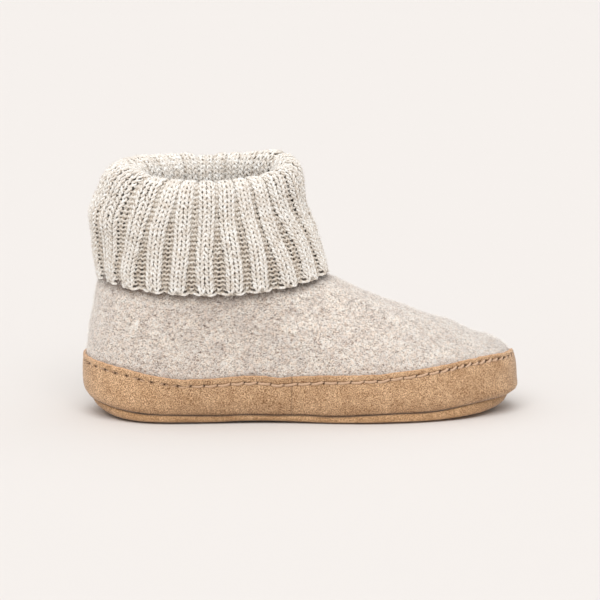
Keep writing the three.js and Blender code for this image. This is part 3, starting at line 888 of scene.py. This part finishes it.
# Suede rand
# Its upper edge along the shoe, swells and dips of that edge on the outer side as station, reach and rise,
# and how far below it the stitching runs.
RAND_TOP = table("x z", [
    (-131, 36.8), (-109, 34.6), (-84, 30.0), (-66, 28.2), (-20, 29.0), (22, 29.7), (60, 31.4), (90, 33.2),
    (112, 35.4), (131, 35.7),
])
RAND_WAVES = (
    (-74, 9, -0.4), (-33, 13, 0.9), (-13, 6, -1.0), (16, 9, 0.4), (48, 10, -0.4), (98, 24, 1.0),
)
STITCH_DROPS = table("x drop", [(-131, 3.8), (-60, 4.2), (0, 4.6), (60, 3.6), (100, 2.8), (131, 2.6)])
GROOVE_WAVES = table("x rise", [
    (-131, 3.0), (-115, 2.6), (-106, 1.5), (-94, 0.1), (-78, -0.2), (-50, -1.0), (-33, -0.6), (-14, -1.0),
    (3, -0.8), (18, -1.6), (45, -0.2), (60, 0.4), (76, 0.4), (90, 1.4), (103, 2.7), (115, 3.0), (131, 1.8),
])
# The rand's face: share of its height, and how far it stands off the felt.
RAND_FACE = table("share off", [
    (0, 1.5), (0.12, 2.3), (0.4, 2.7), (0.66, 2.6), (0.84, 2.5), (0.96, 2.5), (1, 2.2),
])
RAND_GAP = 0.8
RAND_FOOT_LEVEL = FEATHER_LEVEL + 0.45
RAND_MIDDLE = 20  # level half way up it
RAND_STEP = 0.6  # length of its quads
RAND_LOW_ROWS = 14
RAND_HIGH_ROWS = 20
RAND_HIGH = 7.5  # height of the finely meshed band below the upper edge
RAND_BACK_ROWS = 6
RAND_ROUND = 620  # length of both strips together
RAND_SEAM = -5  # station of the butt seams
SEAM_GAP = 0.02
SEAM_HALF = 0.5  # half the width of the dark line there
SEAM_SHADE = 0.3
GROOVE_SHADE = 0.5  # darkness of the rand's foot in the groove over the sole
INNER_TOE_DIP = 2.4  # how much lower the upper edge runs on the inner side of the toe
INNER_TOE_REACH = (50, 118)
INNER_SIDE_REACH = (2, 16)  # sideways
OUTER_SIDE_REACH = (-5, 15)  # the same towards the outer side, for the waves of the edge
TOE_FULL = 1.3  # how much fuller the rand is near its foot at the toe
TOE_FULL_REACH = (100, 126)
TOE_FULL_HEIGHT = (0.12, 0.11)  # share of the rand's height where it is fullest, and how far that spreads
EDGE_PALE = 0.55  # how pale the cut edge is
EDGE_PALE_BAND = 0.9

# Stitching on the rand
STITCH_PITCH = 8.0  # about, as a whole number of stitches goes round the shoe
STITCH_PHASE = 0.6  # place of the first hole behind the outer seam, in stitches
LINE_POINTS = 2400
TOE_STITCH = 0.62  # share of their length that the stitches have round the toe
TOE_STITCH_REACH = (70, 100)
STITCH_INSET = 0.08  # how far each thread shows short of its holes, in stitches,
TOE_INSET = 0.1  # and how much further round the toe
STITCH_SLANT = 0.6  # how far each slants across the line,
SLANT_UNEVEN = 0.4  # how uneven that is,
TOE_SLANT = 0.9  # and how much further they slant round the toe
STITCH_SAG = 0.4
# Stations where the thread comes out of the suede in front of the heel, and sinks at the tip of the toe.
HEEL_SHOW_REACH = (-80, -40)
TOE_SINK_REACH = (114, 127)
TOE_SINK = 0.7
THREAD_RADIUS = 0.82
THREAD_SIDES = 6
THREAD_STEPS = 11
SUNK_THREAD = 0.55  # share of its girth that a sunk thread shows
THREAD_DEEP = 1.25  # how deep a thread starts in its holes,
THREAD_ARCH = 0.65  # how far it rises between them,
THREAD_STAND = 0.5  # and how much further where it shows
HOLE_HALF = 0.68  # half height of a hole
HOLE_LENGTH = 2.1  # half length of one where the thread is sunk,
HOLE_SHORT = 1.0  # and how much less where it shows
HOLE_SIZE = 0.95
HOLE_UNEVEN = ((0.25, GOLDEN_TURN), (0.15, 4.1))  # how uneven the holes are, by a turn from each to the next
HOLE_DEPTH = 1.1
HOLE_SHADE = 1.2
TROUGH_HALF = 0.9  # the line that the stitches press into the suede
TROUGH_DEPTH = 0.5
TROUGH_SHADE = 0.42
SUNK_TROUGH = 0.15  # share of it where the thread is sunk
PUFF = 0.12  # how far the edge above puffs up between the holes
PUFF_REACH = (0, 3)


def groove_wave(x):
    """Rise and fall of the groove between the rand and the sole."""
    return between(GROOVE_WAVES, "x", x)["rise"]


def rand_top(x, y):
    """Level of the rand's upper edge, waved on the outer side."""
    level = between(RAND_TOP, "x", x)["z"]
    level = level - INNER_TOE_DIP * smoothstep(x, *INNER_TOE_REACH) * smoothstep(y, *INNER_SIDE_REACH)
    level = level + lumps(np.stack([x, y, np.zeros_like(x)], axis=-1), *RAND_FRAY)
    outer = smoothstep(-y, *OUTER_SIDE_REACH)
    for station, reach, rise in RAND_WAVES:
        level = level + outer * rise * hump(x, station, reach)
    return level


def seam_round(level, inner):
    """Where the rand's butt seam crosses a level of the last, on one side."""
    rounds = np.linspace(0.5, 1 if inner else 0, ROUNDS)
    return np.interp(RAND_SEAM, last.at(level, rounds)[0][:, 0], rounds)


class Strip:
    """One strip of the rand between its two seams, by shares of its length."""

    def __init__(self, front):
        self.front = front

    def rounds(self, level, share):
        """Shares of the last's round, ended upright at the seams."""
        outer, inner = seam_round(level, False), seam_round(level, True)
        inset = SEAM_GAP / 2 / RAND_ROUND
        start, stop = (inner - 1, outer) if self.front else (outer, inner)
        return start + inset + (stop - start - 2 * inset) * share

    def places(self, share):
        """Points of the last half way up the strip."""
        return last.at(RAND_MIDDLE, self.rounds(RAND_MIDDLE, share))[0]

    def stitch_drop(self, share):
        return np.interp(self.places(share)[:, 0], STITCH_DROPS["x"], STITCH_DROPS["drop"])

    def row(self, share, low_share=1.0, drop=None, back=False):
        """Points and outward directions of one row along the strip: at a share of the way from its foot to
        the fine band, or else at a drop from its upper edge."""
        x, y, z = self.places(share).T
        top = rand_top(x, y)
        foot = RAND_FOOT_LEVEL + groove_wave(x)
        level = foot + (top - RAND_HIGH - foot) * low_share if drop is None else top - drop
        height = (level - foot) / (top - foot)
        face = np.interp(height, RAND_FACE["share"], RAND_FACE["off"])
        face = face + TOE_FULL * smoothstep(x, *TOE_FULL_REACH) * hump(height, *TOE_FULL_HEIGHT)
        around = self.rounds(float(np.mean(level)), share)
        return last.at(level, around, RAND_GAP if back else face)

    def stitch_line(self):
        """Fine points along the middle of the stitching, and their outward directions."""
        share = np.linspace(0, 1, LINE_POINTS)
        return self.row(share, drop=self.stitch_drop(share))


def stitch_count(points):
    """Number of stitches up to each point of a stitch line, which are shorter round the toe."""
    length = STITCH_PITCH * (1 - (1 - TOE_STITCH) * smoothstep(points[:, 0], *TOE_STITCH_REACH))
    steps = np.diff(run_along(points)) / (length[1:] + length[:-1]) * 2
    return np.concatenate([[0], np.cumsum(steps)])


def stitch_show(x):
    """How far the thread stands out of the suede: sunk round the heel and the tip of the toe."""
    return smoothstep(x, *HEEL_SHOW_REACH) * (1 - TOE_SINK * smoothstep(x, *TOE_SINK_REACH))


def strip_mesh(grid):
    """Points and triangles of rows that close to a round, with a cap of its own points at each end."""
    count, columns = grid.shape[:2]
    quads = grid_faces(count, columns, close_rows=True, close_columns=False)
    faces = [quads[:, [0, 1, 2]], quads[:, [0, 2, 3]]]
    points = grid.reshape(-1, 3)
    for column, turn in ((0, 1), (columns - 1, -1)):
        rim = len(points) + np.arange(count)
        centre = np.full(count, len(points) + count)
        points = np.concatenate([points, grid[:, column], grid[:, column].mean(axis=0, keepdims=True)])
        faces.append(np.stack([centre, rim, np.roll(rim, -1)][::turn], axis=-1))
    return points, np.concatenate(faces)


def rand_strip(label, strip, run, count, material):
    """A strip with the holes of its stitching, where run is the way along its stitch line and count the
    number of stitches up to there."""
    columns = int(run[-1] / RAND_STEP)
    share = np.linspace(0, 1, columns)
    along, counted = (np.interp(share, np.linspace(0, 1, len(run)), values) for values in (run, count))
    pitch = 1 / np.gradient(counted, along)
    hole = np.floor(counted - STITCH_PHASE + 0.5).astype(int)
    from_hole = (counted - STITCH_PHASE - hole) * pitch
    size = HOLE_SIZE + sum(more * np.sin(turn * hole) for more, turn in HOLE_UNEVEN)
    line = strip.stitch_drop(share)
    seam = SEAM_SHADE * hump(np.minimum(along, along[-1] - along), 0, SEAM_HALF)
    rows, pits, edges = [], [], []
    for low_share in np.linspace(0, 1, RAND_LOW_ROWS, endpoint=False):
        points, normals = strip.row(share, low_share)
        rows.append(points + normals * lumps(points, *SUEDE_LUMPS)[:, None])
        pits.append(np.maximum(seam, GROOVE_SHADE if low_share == 0 else 0.0))
        edges.append(np.zeros(columns))
    for drop in np.linspace(RAND_HIGH, 0, RAND_HIGH_ROWS):
        points, normals = strip.row(share, drop=drop)
        off_line = drop - line
        shown = stitch_show(points[:, 0])
        pit = hump(from_hole, 0, (HOLE_LENGTH - HOLE_SHORT * shown) * size) * hump(off_line, 0, HOLE_HALF)
        trough = (SUNK_TROUGH + (1 - SUNK_TROUGH) * shown) * hump(off_line, 0, TROUGH_HALF)
        puff = PUFF * smoothstep(-off_line, *PUFF_REACH) * np.cos(2 * math.pi * from_hole / pitch)
        lift = lumps(points, *SUEDE_LUMPS) - HOLE_DEPTH * pit - TROUGH_DEPTH * trough - puff
        rows.append(points + normals * lift[:, None])
        pits.append(np.clip(HOLE_SHADE * pit + TROUGH_SHADE * trough + seam, 0, 1))
        edges.append(np.full(columns, EDGE_PALE * smoothstep(EDGE_PALE_BAND - drop, 0, EDGE_PALE_BAND)))
    for drop in np.linspace(0, RAND_HIGH, RAND_BACK_ROWS):
        rows.append(strip.row(share, drop=drop, back=True)[0])
    for low_share in np.linspace(1, 0, RAND_BACK_ROWS)[1:]:
        rows.append(strip.row(share, low_share, back=True)[0])
    points, faces = strip_mesh(np.stack(rows))
    piece = new_piece("rand_suede_" + label, points, faces[:, ::-1], material, ["rand_" + label])
    plain = np.zeros(len(points) - len(pits) * columns)
    paint(piece, "pit", np.concatenate([*pits, plain]))
    paint(piece, "edge", np.concatenate([*edges, plain]))


def stitches(points, normals, count, whole, material):
    """Threads from hole to hole round the shoe, each dipping into its holes and sagging a little."""
    starts = STITCH_PHASE + np.arange(whole)
    steps = np.linspace(0, 1, THREAD_STEPS)

    def counted(place, values):
        return np.stack([np.interp(place, count, column, period=whole) for column in values.T], axis=-1)

    at_toe = smoothstep(counted(starts, points)[:, 0], *TOE_STITCH_REACH)[:, None]
    inset = STITCH_INSET + TOE_INSET * at_toe
    place = starts[:, None] + inset + (1 - 2 * inset) * steps[None, :]
    paths, out = counted(place, points), counted(place, normals)
    arch = np.sin(math.pi * steps)[None, :]
    shown = stitch_show(paths[..., 0])
    rise = -THREAD_DEEP + (THREAD_ARCH + THREAD_STAND * shown) * arch**0.5
    paths = paths + out * rise[..., None]
    slant = SLANT_UNEVEN * np.sin(GOLDEN_TURN * np.arange(whole))[:, None] - STITCH_SLANT - TOE_SLANT * at_toe
    paths[..., 2] += slant * (steps - 0.5)[None, :] - STITCH_SAG * arch
    radius = THREAD_RADIUS * (SUNK_THREAD + (1 - SUNK_THREAD) * shown)
    tube_points, faces, uv = tubes(paths, out, radius, THREAD_SIDES, closed=False)
    new_piece("stitches", tube_points, faces, material, uv=uv)


def rand(suede, thread):
    """Both strips and the one round of stitching through them, counted from the outer seam."""
    strips = [Strip(front=True), Strip(front=False)]
    lines = [strip.stitch_line() for strip in strips]
    front, rear = (stitch_count(points) for points, normals in lines)
    whole = int(round(front[-1] + rear[-1]))
    scale = whole / (front[-1] + rear[-1])
    counts = [(front - front[-1]) * scale, rear * scale]
    for label, strip, line, count in zip(("front", "rear"), strips, lines, counts):
        rand_strip(label, strip, run_along(line[0]), count, suede)
    points, normals = (np.concatenate(both) for both in zip(*lines))
    stitches(points, normals, np.concatenate(counts), whole, thread)


# Sole and footbed
# Their edges: share of the thickness, and how far they stand off their outline. The sole's edge along the
# forefoot is squarer, and stands clear of the floor.
SOLE_EDGE = table("share off", [
    (0, -6.5), (0.06, -3.0), (0.13, -0.6), (0.22, 1.2), (0.36, 2.3), (0.65, 2.7), (0.9, 2.4), (1, 1.7),
])
SOLE_FORE_EDGE = table("share off", [
    (0, -12), (0.15, -9), (0.215, 2.2), (0.3, 2.7), (0.65, 2.8), (0.9, 2.4), (1, 1.7),
])
INSOLE_EDGE = table("share off", [(0, 0), (0.7, 0), (0.9, -0.3), (1, -1)])
SOLE_COLUMNS = 480
SOLE_ROWS = 14
SOLE_ROW_POWER = 1.6  # crowds the rows towards the floor
SOLE_ACROSS = 14
SOLE_LEVEL = 7
END_TUCK = 2  # how far the sole draws in at both ends
END_TUCK_START = 92
HEEL_ROLL = 6  # how much further its underside draws in at the heel,
TOE_ROLL = 3.6  # and at the toe
FORE_REACH = (-50, 40)  # stations between which the edge goes over into that of the forefoot
FORE_END = (104, 127)  # and back again at the tip
TOE_FOOT = (108, 14)  # station and reach where the sole's foot lacks a share of the toe spring
TOE_FOOT_SHARE = 0.5
# How dark the sole's edge is at the floor and in the groove, and the heights where that starts or ends.
FOOT_SHADE = 0.9
FOOT_SHADE_REACH = (0.2, 1.0)
TOP_SHADE = 0.5
TOP_SHADE_REACH = (-0.7, 0)
FOOTBED_CROWN = 0.5


def level_outline(off):
    """The last's outline at the sole, moved out level by off."""
    points = last.at(SOLE_LEVEL, np.arange(SOLE_COLUMNS) / SOLE_COLUMNS)[0]
    direction = np.roll(points, -1, axis=0) - np.roll(points, 1, axis=0)
    outward = unit(np.stack([-direction[:, 1], direction[:, 0], np.zeros(SOLE_COLUMNS)], axis=-1))
    return points + outward * np.reshape(off, (-1, 1))


def slab(edge, outline, low, high, crown, dish):
    """Points and quads of a sole: its edge from the low face to the high one, and both faces, where the
    high one bows up by crown and lies lower than its edge by dish."""
    rings = []
    for share in np.linspace(0, 1, SOLE_ROWS) ** SOLE_ROW_POWER:
        ring = outline(np.interp(share, edge["share"], edge["off"]), share)
        bottom, top = low(ring[:, 0]), high(ring[:, 0])
        ring[:, 2] = bottom + (top - bottom) * share
        rings.append(ring)
    points = [np.concatenate(rings)]
    faces = [grid_faces(SOLE_ROWS, SOLE_COLUMNS)]
    start = SOLE_ROWS * SOLE_COLUMNS
    across = np.linspace(0, 1, SOLE_ACROSS + 1)
    half = SOLE_COLUMNS // 2
    for ring, turn in ((rings[0], -1), (rings[-1], 1)):
        share = across[None, :, None]
        sheet = ring[:half, None] * (1 - share) + ring[::-1][:half, None] * share
        if turn > 0:
            sheet[..., 2] += crown * 4 * across * (1 - across)
            sheet[:, 1:-1, 2] -= dish(sheet[:, 1:-1, 0])
        points.append(sheet.reshape(-1, 3))
        flat = grid_faces(half, SOLE_ACROSS + 1, close_columns=False) + start
        faces.append(flat[:, ::turn])
        start += half * (SOLE_ACROSS + 1)
    return np.concatenate(points), np.concatenate(faces)


def sole_outline(off, share):
    x = level_outline(0)[:, 0]
    fore = smoothstep(x, *FORE_REACH) * (1 - smoothstep(x, *FORE_END))
    off = off + (np.interp(share, SOLE_FORE_EDGE["share"], SOLE_FORE_EDGE["off"]) - off) * fore
    roll = np.where(x > 0, TOE_ROLL, HEEL_ROLL)
    at_end = smoothstep(np.abs(x), END_TUCK_START, TOE_TIP)
    return level_outline(off - (END_TUCK + roll * (1 - share) ** 2) * at_end)


def sole_floor(x):
    """Height of the sole's underside."""
    hollow = np.maximum(0, 1 - ((x - ARCH_CENTRE) / ARCH_HALF_LENGTH) ** 2)
    return spring(x) * (1 - TOE_FOOT_SHARE * hump(x, *TOE_FOOT)) + ARCH_LIFT * hollow**2


def sole_top(x):
    """Height of the sole's upper edge."""
    return spring(x) + SOLE_THICKNESS + groove_wave(x)


def outsole(material):
    points, faces = slab(SOLE_EDGE, sole_outline, sole_floor, sole_top, 0.0, groove_wave)
    piece = new_piece("outsole_suede", points, faces[:, ::-1], material, ["outsole"])
    x, y, z = points.T
    foot = FOOT_SHADE * (1 - smoothstep(z - sole_floor(x), *FOOT_SHADE_REACH))
    paint(piece, "pit", foot + TOP_SHADE * smoothstep(z - sole_top(x), *TOP_SHADE_REACH))
    paint(piece, "edge", np.zeros(len(points)))


def footbed(material):
    base = SOLE_THICKNESS + INSOLE_GAP
    points, faces = slab(
        INSOLE_EDGE,
        lambda off, share: level_outline(off - FELT_WALL - INSOLE_EASE),
        lambda x: spring(x) + base,
        lambda x: spring(x) + base + INSOLE_THICKNESS,
        FOOTBED_CROWN,
        np.zeros_like,
    )
    piece = new_piece("footbed_felt", points, faces[:, ::-1], material, ["insole"])


# Camera, floor and light
CAMERA_ELEVATION = math.radians(11.5)
CAMERA_DISTANCE = 3000
CAMERA_CLIP = 100  # metres
FIELD_WIDTH = 362.2  # width of the view at that distance
AIM = (0.0, -2.7, 75.0)
AIM_ABOVE_CENTRE = 6.7  # how far above the picture's centre that point shows
SENSOR = 36.0
FLOOR_HALF = 6.0  # metres
FLOOR_COLOUR = (0.703, 0.672, 0.65, 1)
ROOM_COLOUR = (1.0, 0.99, 0.975, 1)
ROOM_STRENGTH = 0.42
# Lights: strength, spread in degrees, and the way that they shine.
LIGHTS = (
    ("above", 1.85, 50, (0.06, 0.55, -0.83)),
    ("behind", 0.6, 70, (0.0, -0.4, -0.92)),
    ("left", 0.68, 110, (0.8, 0.3, -0.6)),
    ("right", 0.57, 110, (-0.8, 0.3, -0.6)),
)


def camera():
    back = Vector((0, -math.cos(CAMERA_ELEVATION), math.sin(CAMERA_ELEVATION)))
    up = Vector((0, math.sin(CAMERA_ELEVATION), math.cos(CAMERA_ELEVATION)))
    target = Vector(AIM) - up * AIM_ABOVE_CENTRE
    data = bpy.data.cameras.new("camera")
    data.sensor_width = SENSOR
    data.lens = SENSOR * CAMERA_DISTANCE / FIELD_WIDTH
    data.clip_end = CAMERA_CLIP
    eye = placed("camera", data)
    eye.location = (target + back * CAMERA_DISTANCE) * UNIT
    eye.rotation_euler = (-back).to_track_quat("-Z", "Y").to_euler()
    bpy.context.scene.camera = eye


def floor():
    """A plain pale floor that runs out of view."""
    mesh = bpy.data.meshes.new("floor")
    corners = [(-1, -1, 0), (1, -1, 0), (1, 1, 0), (-1, 1, 0)]
    mesh.from_pydata([[c * FLOOR_HALF for c in corner] for corner in corners], [], [(0, 1, 2, 3)])
    pale = Shading("floor", roughness=0.9, sheen=0.0)
    pale.shader["Base Color"].default_value = FLOOR_COLOUR
    mesh.materials.append(pale.material)
    plane = placed("floor", mesh)


def light():
    """Soft studio light: an even bright room, and wide lights from above, behind and both sides."""
    world = bpy.data.worlds.new("room")
    world.use_nodes = True
    background = world.node_tree.nodes["Background"]
    background.inputs["Color"].default_value = ROOM_COLOUR
    background.inputs["Strength"].default_value = ROOM_STRENGTH
    bpy.context.scene.world = world
    for name, energy, spread, heading in LIGHTS:
        data = bpy.data.lights.new(name, "SUN")
        data.energy = energy
        data.angle = math.radians(spread)
        placed(name, data).rotation_euler = Vector(heading).to_track_quat("-Z", "Y").to_euler()
    bpy.context.scene.view_settings.view_transform = "Standard"


camera()
floor()
light()

felt_upper(felt_material())
felt_fuzz(hair_material("felt_hair", (222, 212, 203), (252, 248, 243)), np.random.default_rng(11))
yarn_look = yarn_material()
knit_cuff(yarn_look, np.random.default_rng(13))
knit_edge(yarn_look)
knit_ground(ground_material())
knit_fuzz(hair_material("knit_hair", (216, 206, 195), (250, 245, 238)), np.random.default_rng(12))
rand_look = suede_material("suede", (127, 89, 58), (204, 162, 122), (252, 215, 174), hole=(66, 42, 27))
rand(rand_look, thread_material())
outsole(suede_material("sole_suede", (139, 101, 67), (194, 153, 110), (237, 197, 155), hole=(52, 34, 22)))
footbed(footbed_material())
